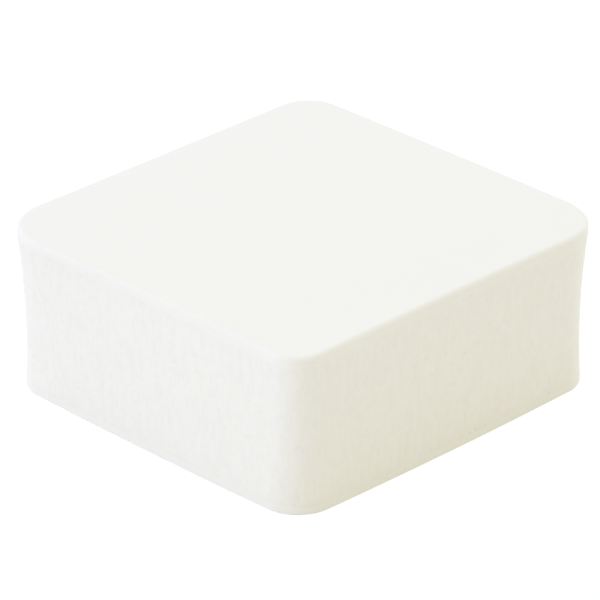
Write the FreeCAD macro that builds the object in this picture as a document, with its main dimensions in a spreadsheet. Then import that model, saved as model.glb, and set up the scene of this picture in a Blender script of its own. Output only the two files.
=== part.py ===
# Nail buffer block: a small square hand block for smoothing nails. A die-cut foam core carries
# an abrasive laminate on its top and on its foot: an adhesive film, a paper backing and the
# grit coat that does the work. Nothing moves, and the block rests on either face.
#
# Millimetres, +Z up, origin at the middle of the foot, on the surface that the block lies on.
# The cutting die drags the soft foam, so the top face's corners flare out over a pinched waist
# and foot, whose sides bulge a little. It also crushes the foam's rims to a bevel, which the
# plies follow down to the cut edge. The grit coat on top has a rolled rim.
import FreeCAD, Part
import Sketcher
import math
import os

doc = FreeCAD.newDocument("NailBufferBlock")

# ------------------------------------------------------------------ driving sizes
sizes = {
    "length_x": 30.0,            # over the flared corners of the top face
    "length_y": 30.95,
    "foam_height": 11.5,
    "corner_radius": 3.5,        # of every outline, seen from above
    "top_bow": 0.05,             # how far the top face's sides bow in at mid-length
    "top_roll": 0.4,             # radius of the grit coat's rim at the top face
    "top_bevel": 0.2,            # width and drop of the crushed foam rim under it
    "waist_inset": 0.57,         # how far the waist stands inside the top face's corners
    "waist_bulge": 0.3,          # how far the waist's sides bulge out at mid-length
    "foot_inset": 0.55,          # how far the foot stands inside the top face's corners
    "foot_bulge": 0.22,          # how far the foot's sides bulge out at mid-length
    "foot_bevel": 0.15,
    "rim_land": 0.1,             # upright foam between a bevel and the waisted wall
    "adhesive_thickness": 0.1,
    "backing_thickness": 0.15,
    "grit_thickness": 0.25,
}

sheet = doc.addObject("Spreadsheet::Sheet", "Sizes")
for row, (alias, number) in enumerate(sizes.items(), start=1):
    sheet.set(f"A{row}", alias)
    sheet.set(f"B{row}", str(number))
    sheet.setAlias(f"B{row}", alias)
doc.recompute()

# ------------------------------------------------------------------ outlines
# An outline is a rounded rectangle with bowed sides. Its inset is measured from the top face's
# corners, and its bow at mid-length goes inwards or outwards.
TOP = {"inset": "0", "bow": "Sizes.top_bow", "inwards": True,
       "roll": "Sizes.top_roll", "bevel": "Sizes.top_bevel"}
WAIST = {"inset": "Sizes.waist_inset", "bow": "Sizes.waist_bulge", "inwards": False}
FOOT = {"inset": "Sizes.foot_inset", "bow": "Sizes.foot_bulge", "inwards": False,
        "bevel": "Sizes.foot_bevel"}

START, END, CENTRE = 1, 2, 3                 # a sketch's names for the points of an arc
ORIGIN = (-1, START)
QUARTER = math.pi / 2
Z_AXIS = FreeCAD.Vector(0, 0, 1)


def bind(sketch, value, *constraint):
    """Adds a dimension to the sketch and ties it to the sheet by the expression value."""
    number = sketch.addConstraint(Sketcher.Constraint(*constraint))
    sketch.setExpression(f"Constraints[{number}]", value)


def half_run_of(length, shape):
    """Expression for the distance from the middle of a side to a corner arc's centre."""
    return f"Sizes.{length} / 2 - {shape['inset']} - Sizes.corner_radius"


def draw_corners(sketch, shape):
    """The outline's four corner arcs, anticlockwise from +X +Y."""
    radius = sizes["corner_radius"]
    centre_x = sizes["length_x"] / 2 - radius
    centre_y = sizes["length_y"] / 2 - radius
    corners = []
    for turn, (x, y) in enumerate(((1, 1), (-1, 1), (-1, -1), (1, -1))):
        circle = Part.Circle(FreeCAD.Vector(x * centre_x, y * centre_y), Z_AXIS, radius)
        arc = Part.ArcOfCircle(circle, turn * QUARTER, (turn + 1) * QUARTER)
        corners.append(sketch.addGeometry(arc))

    for corner in corners[1:]:
        sketch.addConstraint(Sketcher.Constraint("Equal", corners[0], corner))
    bind(sketch, "Sizes.corner_radius", "Radius", corners[0], radius)
    for one, other in ((0, 2), (1, 3)):
        sketch.addConstraint(Sketcher.Constraint(
            "Symmetric", corners[one], CENTRE, corners[other], CENTRE, *ORIGIN))
    sketch.addConstraint(Sketcher.Constraint("Horizontal", corners[1], CENTRE, corners[0], CENTRE))
    sketch.addConstraint(Sketcher.Constraint("Vertical", corners[2], CENTRE, corners[1], CENTRE))
    for kind, other, length, run in (("DistanceX", 1, "length_x", centre_x),
                                     ("DistanceY", 3, "length_y", centre_y)):
        bind(sketch, f"2 * ({half_run_of(length, shape)})", kind,
             corners[other], CENTRE, corners[0], CENTRE, 2 * run)
    return corners


def draw_sides(sketch, shape, corners):
    """Four long arcs that leave the corner arcs tangentially, from the +Y side round."""
    radius = sizes["corner_radius"]
    sign = "-" if shape["inwards"] else "+"
    for turn in range(4):
        along, across = ("length_x", "length_y") if turn % 2 == 0 else ("length_y", "length_x")
        half_run = sizes[along] / 2 - radius
        bend = half_run ** 2 / (2 * sizes["top_bow"])
        facing = (turn + 1) * QUARTER
        if shape["inwards"]:
            offset = sizes[across] / 2 + bend
            middle = facing + math.pi
            first, last = END, START
        else:
            offset = sizes[across] / 2 - bend
            middle = facing
            first, last = START, END
        centre = FreeCAD.Vector(offset * math.cos(facing), offset * math.sin(facing))
        spread = math.asin(half_run / bend)
        circle = Part.Circle(centre, Z_AXIS, bend)
        side = sketch.addGeometry(Part.ArcOfCircle(circle, middle - spread, middle + spread))

        after = corners[(turn + 1) % 4]
        sketch.addConstraint(Sketcher.Constraint("Tangent", corners[turn], END, side, first))
        sketch.addConstraint(Sketcher.Constraint("Tangent", side, last, after, START))
        bind(sketch,
             f"({half_run_of(along, shape)})^2 / (2 * {shape['bow']})"
             f" + {shape['bow']} / 2 {sign} Sizes.corner_radius",
             "Radius", side, bend)


def draw_outline(body, name, shape, level="0"):
    """A sketch of one outline in the body, at the height that the expression level gives."""
    base = next(f for f in body.Origin.OriginFeatures if f.Role == "XY_Plane")
    sketch = body.newObject("Sketcher::SketchObject", name)
    sketch.AttachmentSupport = [(base, "")]
    sketch.MapMode = "FlatFace"
    sketch.setExpression("AttachmentOffset.Base.z", level)
    draw_sides(sketch, shape, draw_corners(sketch, shape))
    return sketch


# ------------------------------------------------------------------ features
def make_body(name):
    body = doc.addObject("PartDesign::Body", name)
    body.Label = name
    return body


def pad(body, name, shape, length, level="0", downwards=False):
    """The outline extruded up, or down, from the height that the expression level gives."""
    feature = body.newObject("PartDesign::Pad", name)
    feature.Profile = draw_outline(body, name + "_outline", shape, level)
    feature.setExpression("Length", length)
    feature.Reversed = downwards
    return feature


def dress_rim(body, name, kind, dimension, size, upper):
    """A Fillet or Chamfer round the body's highest or lowest face."""
    doc.recompute()
    form = body.Tip
    heights = [face.CenterOfMass.z for face in form.Shape.Faces]
    chosen = heights.index(max(heights) if upper else min(heights)) + 1
    feature = body.newObject(f"PartDesign::{kind}", name)
    feature.Base = (form, [f"Face{chosen}"])
    feature.setExpression(dimension, size)
    return feature


def roll_rim(body, name, shape, upper):
    return dress_rim(body, name, "Fillet", "Radius", shape["roll"], upper)


def bevel_rim(body, name, shape, upper):
    return dress_rim(body, name, "Chamfer", "Size", shape["bevel"], upper)


# ------------------------------------------------------------------ pieces
def make_foam_core(level):
    """The foam block: upright lands at both rims, and a smooth loft through the waist between."""
    name = "foam_core"
    foot_land = f"{FOOT['bevel']} + Sizes.rim_land"
    top_land = f"{TOP['bevel']} + Sizes.rim_land"
    top_level = f"Sizes.foam_height - ({top_land})"
    body = make_body(name)
    body.setExpression("Placement.Base.z", level)
    pad(body, "foam_foot_land", FOOT, foot_land)
    walls = body.newObject("PartDesign::AdditiveLoft", "foam_walls")
    walls.Profile = draw_outline(body, "foam_foot_section", FOOT, foot_land)
    walls.Sections = [
        draw_outline(body, "foam_waist_section", WAIST, "Sizes.foam_height / 2"),
        draw_outline(body, "foam_top_section", TOP, top_level),
    ]
    walls.Ruled = False
    pad(body, "foam_top_land", TOP, top_land, top_level)
    bevel_rim(body, "foam_foot_rim", FOOT, upper=False)
    bevel_rim(body, "foam_top_rim", TOP, upper=True)
    return body


def make_form(name, shape, face_level, faces_up, dress):
    """A block whose outer face lies at face_level, with a bevelled or rolled rim round it."""
    body = make_body(name)
    body.setExpression("Placement.Base.z", face_level)
    pad(body, name + "_block", shape, "Sizes.foam_height", downwards=faces_up)
    dress(body, name + "_rim", shape, upper=faces_up)
    return body


def make_ply(name, shape, level, thickness, faces_up, outer_rim=bevel_rim):
    """A ply over a bevelled rim. Its inner side lies at the height that level gives."""
    ply = doc.addObject("Part::Cut", name)
    ply.Label = name
    outer_level = thickness if faces_up else f"-({thickness})"
    ply.Base = make_form(name + "_over", shape, outer_level, faces_up, outer_rim)
    ply.Tool = make_form(name + "_under", shape, "0", faces_up, bevel_rim)
    ply.setExpression("Placement.Base.z", level)
    return ply


def make_stack():
    """Every piece from the foot up, each lying on the one before it."""
    adhesive = "Sizes.adhesive_thickness"
    backing = "Sizes.backing_thickness"
    grit = "Sizes.grit_thickness"
    foam_foot = f"{adhesive} + {backing} + {grit}"
    foam_top = f"{foam_foot} + Sizes.foam_height"
    return [
        make_ply("bottom_grit_coat", FOOT, grit, grit, faces_up=False),
        make_ply("bottom_backing_sheet", FOOT, f"{grit} + {backing}", backing, faces_up=False),
        make_ply("bottom_adhesive_film", FOOT, foam_foot, adhesive, faces_up=False),
        make_foam_core(foam_foot),
        make_ply("top_adhesive_film", TOP, foam_top, adhesive, faces_up=True),
        make_ply("top_backing_sheet", TOP, f"{foam_top} + {adhesive}", backing, faces_up=True),
        make_ply("top_grit_coat", TOP, f"{foam_top} + {adhesive} + {backing}", grit,
                 faces_up=True, outer_rim=roll_rim),
    ]


pieces = make_stack()
doc.recompute()

# ------------------------------------------------------------------ checks and output
for item in doc.Objects:
    if "Invalid" in item.State or "Error" in item.State:
        raise RuntimeError(f"{item.Label} failed: {item.State}")
for piece in pieces:
    if piece.Shape.isNull() or not piece.Shape.isValid():
        raise RuntimeError(f"{piece.Label} has no valid shape")

os.makedirs("parts", exist_ok=True)
for piece in pieces:
    piece.Shape.exportStep(f"parts/{piece.Label}.step")
    box = piece.Shape.BoundBox
    print(f"{piece.Label}: {len(piece.Shape.Solids)} solid, {len(piece.Shape.Faces)} faces, "
          f"{piece.Shape.Volume:.2f} mm3, z {box.ZMin:.2f} to {box.ZMax:.2f}")
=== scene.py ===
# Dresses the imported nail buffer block: a porous foam core between two white abrasive laminates.
# Metres throughout, in the same frame as the CAD, +Z up, with the foot on the floor at z = 0.
import bpy, bmesh
import math
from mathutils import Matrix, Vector, noise


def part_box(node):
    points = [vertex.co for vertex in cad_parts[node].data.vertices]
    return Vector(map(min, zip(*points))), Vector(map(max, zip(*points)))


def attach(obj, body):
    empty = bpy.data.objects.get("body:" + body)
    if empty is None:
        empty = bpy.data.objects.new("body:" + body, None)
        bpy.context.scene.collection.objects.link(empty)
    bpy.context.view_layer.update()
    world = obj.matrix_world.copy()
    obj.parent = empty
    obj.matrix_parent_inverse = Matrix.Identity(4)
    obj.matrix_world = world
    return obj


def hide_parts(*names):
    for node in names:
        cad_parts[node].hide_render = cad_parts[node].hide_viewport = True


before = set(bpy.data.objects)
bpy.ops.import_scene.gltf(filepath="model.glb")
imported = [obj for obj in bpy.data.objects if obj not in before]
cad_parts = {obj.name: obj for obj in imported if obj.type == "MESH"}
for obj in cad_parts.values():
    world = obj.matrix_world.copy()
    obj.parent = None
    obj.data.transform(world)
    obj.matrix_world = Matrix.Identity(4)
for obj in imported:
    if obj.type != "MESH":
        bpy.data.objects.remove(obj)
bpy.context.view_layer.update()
mm = 0.001
up = Vector((0, 0, 1))

# What the steel rule die leaves on the block: corners that flare out at the top over a waist and
# a foot that are pinched in, sides that bulge a little low down, and rolled rims. Four numbers go
# anticlockwise: corners from +X +Y, sides from +Y. Bows are inwards.
dieCut = {
    "topRadii": (4.3 * mm, 2.8 * mm, 4.1 * mm, 2.1 * mm),      # of the corners, from above
    "footRadii": (2.95 * mm,) * 4,
    "topBows": (-0.06 * mm, 0.02 * mm, 0.18 * mm, 0.1 * mm),
    "waistInset": 0.48 * mm,
    "waistBows": (-0.22 * mm,) * 4,
    "footInset": 0.61 * mm,
    "footBows": (-0.16 * mm, -0.16 * mm, -0.13 * mm, -0.17 * mm),
    "topRoll": 0.34 * mm,         # radius of the rolled rim
    "footRoll": 0.15 * mm,
}


def levels(node):
    low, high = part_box(node)
    return low.z, high.z


# Points round one rounded rectangle, anticlockwise, each with its outward normal.
def outline(inset, bows, radii, cornerSteps, sideSteps):
    low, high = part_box("top_backing_sheet")
    centres = []
    for radius, (sideX, sideY) in zip(radii, ((1, 1), (-1, 1), (-1, -1), (1, -1))):
        run = Vector((high.x - inset - radius, high.y - inset - radius, 0))
        centres.append(Vector((run.x * sideX, run.y * sideY, 0)))
    points = []
    for turn in range(4):
        for step in range(cornerSteps):
            angle = (turn + step / cornerSteps) * math.pi / 2
            normal = Vector((math.cos(angle), math.sin(angle), 0))
            points.append((centres[turn] + normal * radii[turn], normal))
        facing = (turn + 1) * math.pi / 2
        outward = Vector((math.cos(facing), math.sin(facing), 0))
        after = (turn + 1) % 4
        start = centres[turn] + outward * radii[turn]
        end = centres[after] + outward * radii[after]
        for step in range(sideSteps):
            share = step / sideSteps
            away = 2 * share - 1
            spot = start.lerp(end, share) - outward * (bows[turn] * (1 - away ** 2))
            slope = 4 * bows[turn] * away / (end - start).length
            points.append((spot, (outward - (end - start).normalized() * slope).normalized()))
    return points


# How far a rolled face has dropped at a distance in from its cut edge.
def rollDrop(radius, inset):
    left = max(0, radius - inset)
    return radius - math.sqrt(radius ** 2 - left ** 2)


# A closed piece from rings of equal length, with a flat face at each end.
def skinRings(name, rings, material, sharpAngle=40):
    form = bmesh.new()
    rows = [[form.verts.new(spot) for spot in ring] for ring in rings]
    count = len(rings[0])
    for lower, upper in zip(rows, rows[1:]):
        for i in range(count):
            j = (i + 1) % count
            form.faces.new((lower[i], lower[j], upper[j], upper[i]))
    form.faces.new(list(reversed(rows[0])))
    form.faces.new(rows[-1])
    form.normal_update()
    for face in form.faces:
        face.smooth = True
    for edge in form.edges:
        if edge.calc_face_angle(0) > math.radians(sharpAngle):
            edge.smooth = False
    mesh = bpy.data.meshes.new(name)
    form.to_mesh(mesh)
    form.free()
    mesh.materials.append(material)
    piece = bpy.data.objects.new(name, mesh)
    bpy.context.collection.objects.link(piece)
    return piece


def place(piece, node):
    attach(piece, "root")
    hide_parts(node)


# Every finish is procedural, and follows the block's own coordinates in metres.
def newMaterial(name):
    material = bpy.data.materials.new(name)
    material.use_nodes = True
    nodes = material.node_tree.nodes
    return material, nodes, material.node_tree.links, nodes["Principled BSDF"]


def noiseNode(nodes, links, scale, detail, stretch=(1, 1, 1)):
    where = nodes.new("ShaderNodeTexCoord")
    mapping = nodes.new("ShaderNodeMapping")
    mapping.inputs["Scale"].default_value = stretch
    texture = nodes.new("ShaderNodeTexNoise")
    texture.inputs["Scale"].default_value = scale
    texture.inputs["Detail"].default_value = detail
    links.new(where.outputs["Object"], mapping.inputs["Vector"])
    links.new(mapping.outputs["Vector"], texture.inputs["Vector"])
    return texture


def rampNode(nodes, links, source, stops):
    ramp = nodes.new("ShaderNodeValToRGB")
    for element, (position, colour) in zip(ramp.color_ramp.elements, stops):
        element.position = position
        element.color = (*colour, 1)
    links.new(source, ramp.inputs["Fac"])
    return ramp


def bumpNode(nodes, links, source, distance, strength, before=None):
    bump = nodes.new("ShaderNodeBump")
    bump.inputs["Distance"].default_value = distance
    bump.inputs["Strength"].default_value = strength
    links.new(source, bump.inputs["Height"])
    if before:
        links.new(before.outputs["Normal"], bump.inputs["Normal"])
    return bump


# A few spots scattered through the stuff: 0 in a spot, and 1 between them.
def scatteredSpots(nodes, links, scale, reach):
    where = nodes.new("ShaderNodeTexCoord")
    cells = nodes.new("ShaderNodeTexVoronoi")
    cells.inputs["Scale"].default_value = scale
    clear = nodes.new("ShaderNodeMapRange")
    clear.interpolation_type = "SMOOTHSTEP"
    clear.inputs["From Max"].default_value = reach
    links.new(where.outputs["Object"], cells.inputs["Vector"])
    links.new(cells.outputs["Distance"], clear.inputs["Value"])
    return clear


def spottedColour(nodes, links, clear, spot, source):
    mix = nodes.new("ShaderNodeMix")
    mix.data_type = "RGBA"
    mix.inputs["A"].default_value = (*spot, 1)
    links.new(clear.outputs["Result"], mix.inputs["Factor"])
    links.new(source, mix.inputs["B"])
    return mix


foamLook = {
    "light": (0.919, 0.911, 0.878),
    "dark": (0.899, 0.89, 0.853),
    # the pore colour is painted shade: the pores are made darker and yellower, as if shaded in
    # their hollows
    "pore": (0.872, 0.858, 0.802),
    "cells": (3300, 2, (1, 1, 0.5)),      # noise scale, detail and stretch
    "drag": (2900, 1, (1, 1, 0.16)),
    "dragShare": 0.45,            # how much of the colour follows the die's upright streaks
    "darkBelow": 0.38,            # noise values between which the colour changes
    "lightAbove": 0.56,
    "poreScale": 1000,            # larger is closer together
    "poreReach": 0.17,            # share of their spacing
    "dragBump": (0.03 * mm, 0.35),        # distance and strength
    "cellBump": (0.04 * mm, 0.25),
    "poreBump": (0.05 * mm, 0.4),
    "roughness": 0.85,
    "specular": 0.2,
    "glowWeight": 0.25,           # light that soaks into the foam and comes out near by
    "glowRadius": (1, 0.9, 0.7),
    "glowScale": 0.25 * mm,
}


def foamMaterial():
    material, nodes, links, shader = newMaterial("whiteFoam")
    cells = noiseNode(nodes, links, *foamLook["cells"])
    drag = noiseNode(nodes, links, *foamLook["drag"])
    both = nodes.new("ShaderNodeMix")
    both.inputs["Factor"].default_value = foamLook["dragShare"]
    links.new(cells.outputs["Fac"], both.inputs["A"])
    links.new(drag.outputs["Fac"], both.inputs["B"])
    colour = rampNode(nodes, links, both.outputs["Result"],
                      ((foamLook["darkBelow"], foamLook["dark"]),
                       (foamLook["lightAbove"], foamLook["light"])))
    # Painted shade in the pores: the same spots that dent the surface also darken its colour.
    poreDentsAndShade = scatteredSpots(nodes, links, foamLook["poreScale"], foamLook["poreReach"])
    paintedPoreShade = spottedColour(nodes, links, poreDentsAndShade, foamLook["pore"], colour.outputs["Color"])
    links.new(paintedPoreShade.outputs["Result"], shader.inputs["Base Color"])
    dragBump = bumpNode(nodes, links, drag.outputs["Fac"], *foamLook["dragBump"])
    cellBump = bumpNode(nodes, links, cells.outputs["Fac"], *foamLook["cellBump"], dragBump)
    poreBump = bumpNode(nodes, links, poreDentsAndShade.outputs["Result"], *foamLook["poreBump"], cellBump)
    links.new(poreBump.outputs["Normal"], shader.inputs["Normal"])
    shader.inputs["Roughness"].default_value = foamLook["roughness"]
    shader.inputs["Specular IOR Level"].default_value = foamLook["specular"]
    shader.inputs["Subsurface Weight"].default_value = foamLook["glowWeight"]
    shader.inputs["Subsurface Radius"].default_value = foamLook["glowRadius"]
    shader.inputs["Subsurface Scale"].default_value = foamLook["glowScale"]
    return material


gritLook = {
    "light": (0.914, 0.911, 0.892),
    "dark": (0.904, 0.899, 0.876),
    "speck": (0.87, 0.86, 0.83),
    "grains": (9000, 2),          # noise scale and detail
    "clouds": (120, 3),
    "darkBelow": 0.3,
    "lightAbove": 0.7,
    "speckScale": 260,
    "speckReach": 0.05,
    "grainBump": (0.02 * mm, 0.4),
    "roughness": 0.7,
    "specular": 0.3,
}


def gritMaterial():
    material, nodes, links, shader = newMaterial("whiteGrit")
    grains = noiseNode(nodes, links, *gritLook["grains"])
    clouds = noiseNode(nodes, links, *gritLook["clouds"])
    colour = rampNode(nodes, links, clouds.outputs["Fac"],
                      ((gritLook["darkBelow"], gritLook["dark"]),
                       (gritLook["lightAbove"], gritLook["light"])))
    clear = scatteredSpots(nodes, links, gritLook["speckScale"], gritLook["speckReach"])
    specked = spottedColour(nodes, links, clear, gritLook["speck"], colour.outputs["Color"])
    links.new(specked.outputs["Result"], shader.inputs["Base Color"])
    grainBump = bumpNode(nodes, links, grains.outputs["Fac"], *gritLook["grainBump"])
    links.new(grainBump.outputs["Normal"], shader.inputs["Normal"])
    shader.inputs["Roughness"].default_value = gritLook["roughness"]
    shader.inputs["Specular IOR Level"].default_value = gritLook["specular"]
    return material


paperLook = {
    "light": (0.925, 0.918, 0.88),
    "dark": (0.912, 0.904, 0.862),
    "fibres": (4000, 4, (1, 1, 4)),       # noise scale, detail and stretch
    "darkBelow": 0.3,
    "lightAbove": 0.6,
    "fibreBump": (0.03 * mm, 0.5),
    "roughness": 0.9,
}


def paperMaterial():
    material, nodes, links, shader = newMaterial("whitePaper")
    fibres = noiseNode(nodes, links, *paperLook["fibres"])
    colour = rampNode(nodes, links, fibres.outputs["Fac"],
                      ((paperLook["darkBelow"], paperLook["dark"]),
                       (paperLook["lightAbove"], paperLook["light"])))
    links.new(colour.outputs["Color"], shader.inputs["Base Color"])
    fibreBump = bumpNode(nodes, links, fibres.outputs["Fac"], *paperLook["fibreBump"])
    links.new(fibreBump.outputs["Normal"], shader.inputs["Normal"])
    shader.inputs["Roughness"].default_value = paperLook["roughness"]
    return material


adhesiveLook = {
    "light": (0.93, 0.922, 0.882),
    "dark": (0.915, 0.906, 0.862),
    "clouds": (1500, 2),
    "darkBelow": 0.35,
    "lightAbove": 0.65,
    "roughness": 0.6,
}


def adhesiveMaterial():
    material, nodes, links, shader = newMaterial("milkyAdhesive")
    clouds = noiseNode(nodes, links, *adhesiveLook["clouds"])
    colour = rampNode(nodes, links, clouds.outputs["Fac"],
                      ((adhesiveLook["darkBelow"], adhesiveLook["dark"]),
                       (adhesiveLook["lightAbove"], adhesiveLook["light"])))
    links.new(colour.outputs["Color"], shader.inputs["Base Color"])
    shader.inputs["Roughness"].default_value = adhesiveLook["roughness"]
    return material


foam = foamMaterial()
grit = gritMaterial()
paper = paperMaterial()
adhesive = adhesiveMaterial()
print("materials made")

# The core is one skin, from the rolled foot rim up the waisted wall to the rolled top rim.
foamCore = {
    "cornerSteps": 44,
    "sideSteps": 196,
    "rows": 88,
    "poreSpacing": 0.9 * mm,      # the few cells that burst open
    "poreRadius": 0.2 * mm,
    "poreDepth": 0.035 * mm,
    "cellSize": 0.3 * mm,         # the fine cells all over the cut
    "cellDepth": 0.012 * mm,
    "cellMiddle": 0.6,            # the noise value that leaves the wall where it is
    "dragDepth": 0.006 * mm,      # upright streaks that the die leaves
    "dragWidth": 0.35 * mm,
    "dragStretch": 0.12,          # smaller is longer streaks
    "calmRims": 12,               # at a rim the relief fades out over 1 / 12 of the height
    "underRoll": (0.02, 0.08, 0.2, 0.4, 0.65, 1),     # rings under a rim, in shares of its radius
}


def foamRelief(spot):
    near = noise.voronoi(spot / foamCore["poreSpacing"])[0][0] * foamCore["poreSpacing"]
    cell = noise.voronoi(spot / foamCore["cellSize"])[0][0]
    long = Vector((spot.x, spot.y, spot.z * foamCore["dragStretch"]))
    streak = noise.noise(long / foamCore["dragWidth"])
    pore = max(0, 1 - (near / foamCore["poreRadius"]) ** 2)
    return (streak * foamCore["dragDepth"] - pore * foamCore["poreDepth"]
            + (cell - foamCore["cellMiddle"]) * foamCore["cellDepth"])


# The rings under a rolled rim, from the cut edge inwards.
def rimRings(points, radius, level, sign):
    rings = []
    for share in foamCore["underRoll"]:
        inset = radius * share
        height = up * (level - sign * rollDrop(radius, inset))
        rings.append([point - normal * inset + height for point, normal in points])
    return rings


def makeFoamCore():
    low, high = levels("foam_core")
    steps = foamCore["cornerSteps"], foamCore["sideSteps"]
    waistRadii = [(a + b) / 2 for a, b in zip(dieCut["footRadii"], dieCut["topRadii"])]
    foot = outline(dieCut["footInset"], dieCut["footBows"], dieCut["footRadii"], *steps)
    waist = outline(dieCut["waistInset"], dieCut["waistBows"], waistRadii, *steps)
    top = outline(0, dieCut["topBows"], dieCut["topRadii"], *steps)
    footRim = low + dieCut["footRoll"]
    topRim = high - dieCut["topRoll"]
    rings = list(reversed(rimRings(foot, dieCut["footRoll"], low, -1)))
    for row in range(foamCore["rows"] + 1):
        t = row / foamCore["rows"]            # 0 at the foot rim, 1 at the top rim
        # One parabola runs up through the foot, the waist and the top.
        shares = (1 - t) * (1 - 2 * t), 4 * t * (1 - t), t * (2 * t - 1)
        calm = min(1, foamCore["calmRims"] * t, foamCore["calmRims"] * (1 - t))
        ring = []
        for (a, normal), (b, _), (c, _) in zip(foot, waist, top):
            spot = a * shares[0] + b * shares[1] + c * shares[2]
            spot.z = footRim + (topRim - footRim) * t
            ring.append(spot + normal * foamRelief(spot) * calm)
        rings.append(ring)
    rings += rimRings(top, dieCut["topRoll"], high, 1)
    core = skinRings("foamCore", rings, foam, sharpAngle=60)
    place(core, "foam_core")


makeFoamCore()
print("foam core made")

# Each laminate is three plies: adhesive against the foam, then paper, then grit outside.
laminate = {
    "cornerSteps": 24,
    "sideSteps": 100,
    "burr": 0.012 * mm,           # how ragged the cut edge is
    "burrLength": 0.25 * mm,
    "burrReach": 8,               # the burr fades out over 1 / 8 of the roll
    "rollSteps": 8,
}

plyThickness = {"adhesive": 0.1 * mm, "backing_paper": 0.15 * mm, "grit_coat": 0.25 * mm}


# A ply lies between two rolled faces. It runs up its inner face, out to the cut edge, and back.
def makePly(node, name, face, sign, material, slot):
    low, high = levels(node)
    outer = high if sign > 0 else low
    inner = outer - sign * plyThickness[slot]
    inset = 0 if face == "top" else dieCut["footInset"]
    shape = inset, dieCut[face + "Bows"], dieCut[face + "Radii"]
    points = outline(*shape, laminate["cornerSteps"], laminate["sideSteps"])
    radius = dieCut[face + "Roll"]
    steps = laminate["rollSteps"]
    turns = [math.pi / 2 * step / steps for step in range(steps + 1)]
    profile = [(1 - math.sin(turn), inner) for turn in turns]
    profile += [(1 - math.sin(turn), outer) for turn in reversed(turns)]
    rings = []
    for share, level in profile:
        edge = max(0, 1 - laminate["burrReach"] * share)
        ring = []
        for point, normal in points:
            where = (point + up * level) / laminate["burrLength"]
            ragged = abs(noise.noise(where)) * laminate["burr"]
            spot = point - normal * (radius * share + ragged * edge)
            spot.z = level - sign * rollDrop(radius, radius * share)
            ring.append(spot)
        rings.append(ring)
    if sign < 0:
        rings.reverse()
    ply = skinRings(name, rings, material)
    place(ply, node)


for face, sign in (("top", 1), ("foot", -1)):
    node = "top" if face == "top" else "bottom"
    makePly(node + "_adhesive_film", face + "AdhesiveFilm", face, sign, adhesive, "adhesive")
    makePly(node + "_backing_sheet", face + "BackingSheet", face, sign, paper, "backing_paper")
    makePly(node + "_grit_coat", face + "GritCoat", face, sign, grit, "grit_coat")
print("laminates made")

# Floor, light and camera.
studio = {
    "floorSize": 3.0,
    "floorBounce": (0.85, 0.85, 0.84),    # the colour that lights the block from below
    "floorShade": (0.12, 0.12, 0.12),     # the share of what is seen that takes shadows
    "floorWhite": 0.93,
    "lampDistance": 0.6,
    "lampSize": 0.7,
}

# The light all round: strength, the side where it is dimmest, its colours from the far side to
# that side, and the glow that the walls add low down, except at the far side.
tent = {
    "strength": 1.19,
    "dimAzimuth": 75,
    "stops": ((0.4, (0.822, 0.836, 0.89)),
              (0.7, (0.672, 0.607, 0.29)),
              (1.0, (0.212, 0.13, 0.0))),
    "glow": (0.6, 0.665, 0.86),
    "glowFrom": 0.05,             # along the same way as the stops
    "glowFull": 0.55,
    "glowFall": 2,                # how fast the glow fades with height
}


def bearing(azimuth, elevation):
    around, above = math.radians(azimuth), math.radians(elevation)
    return Vector((math.sin(around) * math.cos(above), -math.cos(around) * math.cos(above),
                   math.sin(above)))


def makeFloor():
    form = bmesh.new()
    half = studio["floorSize"] / 2
    around = (-half, -half), (half, -half), (half, half), (-half, half)
    form.faces.new([form.verts.new((x, y, 0)) for x, y in around])
    mesh = bpy.data.meshes.new("floor")
    form.to_mesh(mesh)
    form.free()
    floor = bpy.data.objects.new("floor", mesh)
    bpy.context.collection.objects.link(floor)
    material = bpy.data.materials.new("paleFloor")
    material.use_nodes = True
    nodes, links = material.node_tree.nodes, material.node_tree.links
    nodes.clear()
    bounce = nodes.new("ShaderNodeBsdfDiffuse")
    bounce.inputs["Color"].default_value = (*studio["floorBounce"], 1)
    faint = nodes.new("ShaderNodeBsdfDiffuse")
    faint.inputs["Color"].default_value = (*studio["floorShade"], 1)
    white = nodes.new("ShaderNodeEmission")
    white.inputs["Strength"].default_value = studio["floorWhite"]
    seen = nodes.new("ShaderNodeAddShader")
    path = nodes.new("ShaderNodeLightPath")
    either = nodes.new("ShaderNodeMath")
    either.operation = "MAXIMUM"
    mix = nodes.new("ShaderNodeMixShader")
    output = nodes.new("ShaderNodeOutputMaterial")
    links.new(faint.outputs[0], seen.inputs[0])
    links.new(white.outputs[0], seen.inputs[1])
    links.new(path.outputs["Is Camera Ray"], either.inputs[0])
    links.new(path.outputs["Is Glossy Ray"], either.inputs[1])
    links.new(either.outputs[0], mix.inputs["Fac"])
    links.new(bounce.outputs[0], mix.inputs[1])
    links.new(seen.outputs[0], mix.inputs[2])
    links.new(mix.outputs[0], output.inputs["Surface"])
    mesh.materials.append(material)


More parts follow.
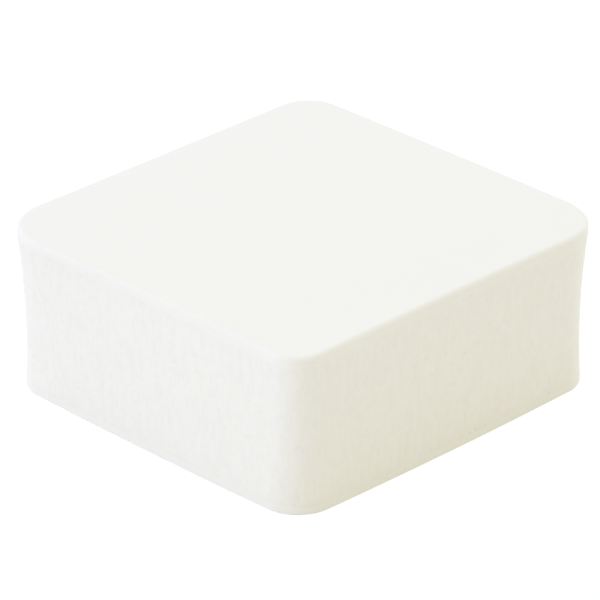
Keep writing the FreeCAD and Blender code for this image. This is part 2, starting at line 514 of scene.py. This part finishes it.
# The tent is brightest behind the block and to its left, and dimmer and warmer on the near right.
def makeWorld():
    world = bpy.data.worlds.new("lightTent")
    bpy.context.scene.world = world
    world.use_nodes = True
    nodes, links = world.node_tree.nodes, world.node_tree.links
    nodes.clear()
    where = nodes.new("ShaderNodeTexCoord")
    towards = nodes.new("ShaderNodeVectorMath")
    towards.operation = "DOT_PRODUCT"
    towards.inputs[1].default_value = bearing(tent["dimAzimuth"], 0)
    share = nodes.new("ShaderNodeMapRange")
    share.inputs["From Min"].default_value = -1
    ramp = nodes.new("ShaderNodeValToRGB")
    stops = ramp.color_ramp.elements
    stops.new(0.5)
    for stop, (position, colour) in zip(stops, tent["stops"]):
        stop.position = position
        stop.color = (*colour, 1)
    parts = nodes.new("ShaderNodeSeparateXYZ")
    below = nodes.new("ShaderNodeMath")
    below.operation = "SUBTRACT"
    below.inputs[0].default_value = 1
    falling = nodes.new("ShaderNodeMath")
    falling.operation = "POWER"
    falling.inputs[1].default_value = tent["glowFall"]
    nearer = nodes.new("ShaderNodeMapRange")
    nearer.inputs["From Min"].default_value = tent["glowFrom"]
    nearer.inputs["From Max"].default_value = tent["glowFull"]
    low = nodes.new("ShaderNodeMath")
    low.operation = "MULTIPLY"
    glowing = nodes.new("ShaderNodeVectorMath")
    glowing.operation = "MULTIPLY_ADD"
    glowing.inputs[1].default_value = tent["glow"]
    light = nodes.new("ShaderNodeBackground")
    light.inputs["Strength"].default_value = tent["strength"]
    white = nodes.new("ShaderNodeBackground")
    white.inputs["Color"].default_value = (1, 1, 1, 1)
    path = nodes.new("ShaderNodeLightPath")
    mix = nodes.new("ShaderNodeMixShader")
    output = nodes.new("ShaderNodeOutputWorld")
    links.new(where.outputs["Generated"], towards.inputs[0])
    links.new(towards.outputs["Value"], share.inputs["Value"])
    links.new(share.outputs["Result"], ramp.inputs["Fac"])
    links.new(where.outputs["Generated"], parts.inputs[0])
    links.new(parts.outputs["Z"], below.inputs[1])
    links.new(below.outputs[0], falling.inputs[0])
    links.new(share.outputs["Result"], nearer.inputs["Value"])
    links.new(falling.outputs[0], low.inputs[0])
    links.new(nearer.outputs["Result"], low.inputs[1])
    links.new(low.outputs[0], glowing.inputs[0])
    links.new(ramp.outputs["Color"], glowing.inputs[2])
    links.new(glowing.outputs[0], light.inputs["Color"])
    links.new(path.outputs["Is Camera Ray"], mix.inputs["Fac"])
    links.new(light.outputs[0], mix.inputs[1])
    links.new(white.outputs[0], mix.inputs[2])
    links.new(mix.outputs[0], output.inputs["Surface"])


# Each softbox: azimuth from -Y towards +X and elevation in degrees, watts, and colour.
softboxes = {
    "coolFill": (-5, 22, 0.65, (0.39, 0.53, 1)),
    "topLamp": (-60, 80, 0.398, (0.41, 0.487, 1)),
    "rimLamp": (165, 12, 0.62, (0.54, 0.78, 1)),
}


def makeLamp(name, azimuth, elevation, power, colour):
    lamp = bpy.data.lights.new(name, "AREA")
    lamp.shape = "DISK"
    lamp.size = studio["lampSize"]
    lamp.energy = power
    lamp.color = colour
    holder = bpy.data.objects.new(name, lamp)
    bpy.context.collection.objects.link(holder)
    towards = bearing(azimuth, elevation)
    holder.location = towards * studio["lampDistance"]
    holder.rotation_euler = towards.to_track_quat("Z", "Y").to_euler()


viewer = {
    "azimuth": 45.18,             # degrees, as seen from above, from -Y towards +X
    "elevation": 26.78,
    "distance": 0.3493,
    "lens": 300.0,
    "target": Vector((-0.2, -0.14, 6.34)) * mm,
    "clipStart": 0.01,
}


def makeCamera():
    camera = bpy.data.objects.new("camera", bpy.data.cameras.new("camera"))
    bpy.context.collection.objects.link(camera)
    back = bearing(viewer["azimuth"], viewer["elevation"])
    camera.location = viewer["target"] + back * viewer["distance"]
    camera.rotation_euler = back.to_track_quat("Z", "Y").to_euler()
    camera.data.lens = viewer["lens"]
    camera.data.clip_start = viewer["clipStart"]
    bpy.context.scene.camera = camera


makeFloor()
makeWorld()
for name, setting in softboxes.items():
    makeLamp(name, *setting)
makeCamera()
bpy.context.scene.view_settings.view_transform = "Standard"
print("studio made")
